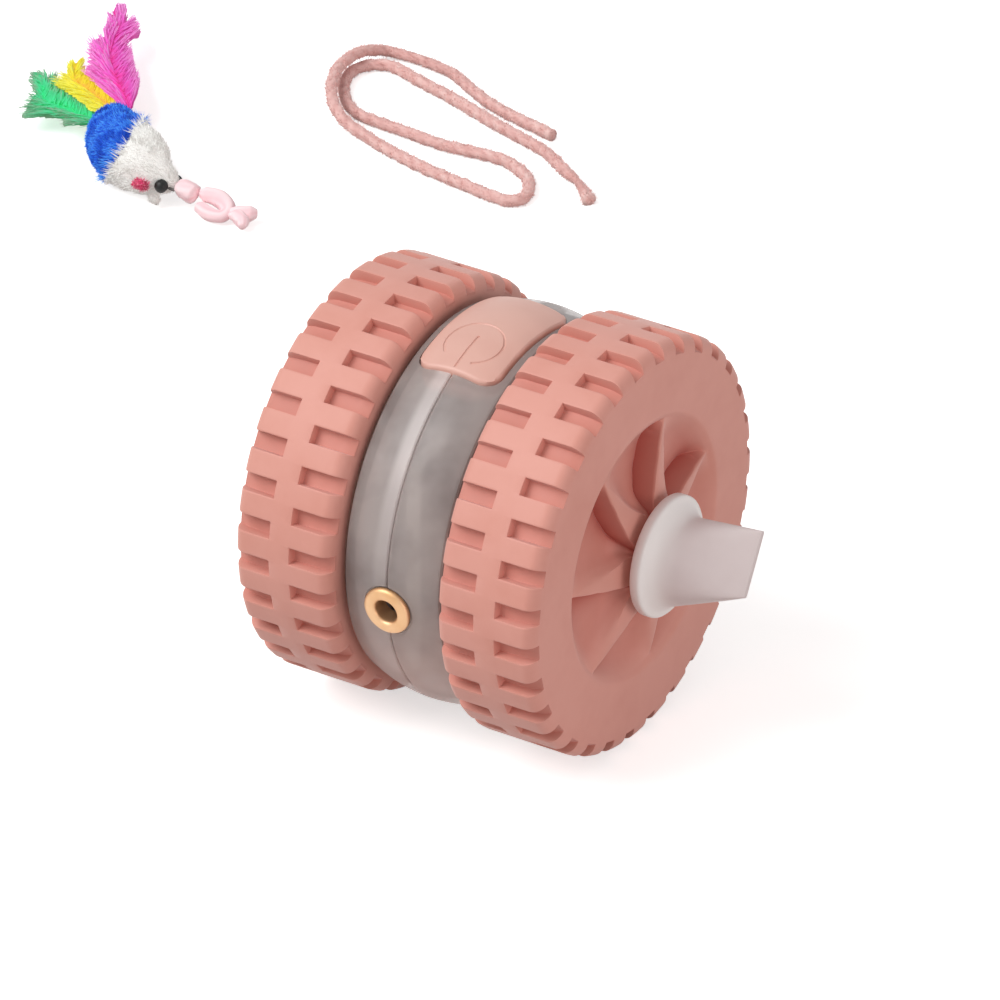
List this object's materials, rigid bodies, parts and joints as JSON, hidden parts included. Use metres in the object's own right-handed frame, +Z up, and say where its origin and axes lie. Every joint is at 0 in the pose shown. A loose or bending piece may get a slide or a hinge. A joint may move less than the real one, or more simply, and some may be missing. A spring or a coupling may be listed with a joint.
{
  "type": "automatic mouse wheel cat toy",
  "caption": "Motorised rolling cat toy: a translucent barrel between treaded rubber wheels with a hub paddle, a push button, a cord eyelet, and a loose plush mouse and rope.",
  "frame": {"origin": "on the floor, under the middle of the axle line between the two wheels", "axes": "+X along the axle towards the right wheel, -Y towards the eyelet at the front, +Z up"},
  "size_m": [0.2568, 0.2403, 0.08],
  "materials": {
    "pink_rubber": "matte silicone rubber",
    "pink_plastic": "satin moulded plastic",
    "grey_plastic": "satin moulded plastic",
    "frosted_shell": "frosted translucent plastic",
    "brass": "polished brass",
    "steel": "bright turned steel",
    "white_nylon": "moulded nylon",
    "dark_plastic": "black moulded plastic",
    "cell_wrap": "shrink wrap",
    "dark_board": "solder mask",
    "led_clear": "clear resin",
    "white_plush": "short plush fur",
    "blue_plush": "short plush fur",
    "black_bead": "glossy bead",
    "red_felt": "felt",
    "pink_cord": "fuzzy cotton cord",
    "pale_pink": "soft cotton",
    "magenta_feather": "dyed feather",
    "yellow_feather": "dyed feather",
    "green_feather": "dyed feather"
  },
  "bodies": {
    "chassis": {"right_bush": "brass", "right_motor": "steel", "right_motor_lead": "dark_plastic", "shell_right": "frosted_shell", "left_bush": "brass", "left_motor": "steel", "left_motor_lead": "dark_plastic", "shell_left": "frosted_shell", "case_screw_1": "steel", "case_screw_2": "steel", "case_screw_3": "steel", "case_screw_4": "steel", "motor_frame": "white_nylon", "battery": "cell_wrap", "ballast": "steel", "circuit_board": "dark_board", "tact_switch": "dark_plastic", "charging_port": "steel", "front_led": "led_clear", "rear_led": "led_clear", "battery_lead": "dark_plastic", "eyelet": "brass", "rope": "pink_cord"},
    "right_wheel": {"right_tyre": "pink_rubber", "right_rim": "pink_plastic", "right_axle": "steel", "right_wheel_gear": "white_nylon", "right_paddle": "grey_plastic"},
    "left_wheel": {"left_tyre": "pink_rubber", "left_rim": "pink_plastic", "left_axle": "steel", "left_wheel_gear": "white_nylon", "left_hub_cap": "grey_plastic"},
    "right_drive": {"right_pinion": "white_nylon", "right_motor_shaft": "steel"},
    "left_drive": {"left_pinion": "white_nylon", "left_motor_shaft": "steel"},
    "button": {"power_button": "pink_plastic"},
    "mouse": {"mouse_eye_right": "black_bead", "mouse_ear_right": "red_felt", "mouse_eye_left": "black_bead", "mouse_ear_left": "red_felt", "mouse_body": "white_plush", "mouse_rump": "blue_plush", "feather_magenta": "magenta_feather", "feather_yellow": "yellow_feather", "feather_green": "green_feather", "mouse_tie_collar": "pale_pink", "mouse_tie_loop": "pale_pink", "mouse_tie_knot": "pale_pink"}
  },
  "joints": [
    {"name": "right_wheel_spin", "type": "hinge", "parent": "chassis", "child": "right_wheel", "pos_m": [0, 0, 0.04], "axis": [1, 0, 0], "continuous": true},
    {"name": "right_drive_spin", "type": "hinge", "parent": "chassis", "child": "right_drive", "pos_m": [0, -0.02, 0.04], "axis": [1, 0, 0], "continuous": true},
    {"name": "left_wheel_spin", "type": "hinge", "parent": "chassis", "child": "left_wheel", "pos_m": [0, 0, 0.04], "axis": [1, 0, 0], "continuous": true},
    {"name": "left_drive_spin", "type": "hinge", "parent": "chassis", "child": "left_drive", "pos_m": [0, 0.02, 0.04], "axis": [1, 0, 0], "continuous": true},
    {"name": "button_press", "type": "slide", "parent": "chassis", "child": "button", "axis": [0, 0.0244, -0.9997], "range_m": [0, 0.0006], "stiffness_N_per_m": 1500},
    {"name": "mouse_lift", "type": "slide", "parent": "chassis", "child": "mouse", "axis": [0, 0, 1], "range_m": [0, 0.1]}
  ],
  "couplings": [
    {"joint": "right_drive_spin", "follows": "right_wheel_spin", "ratio": -4},
    {"joint": "left_drive_spin", "follows": "left_wheel_spin", "ratio": -4}
  ]
}
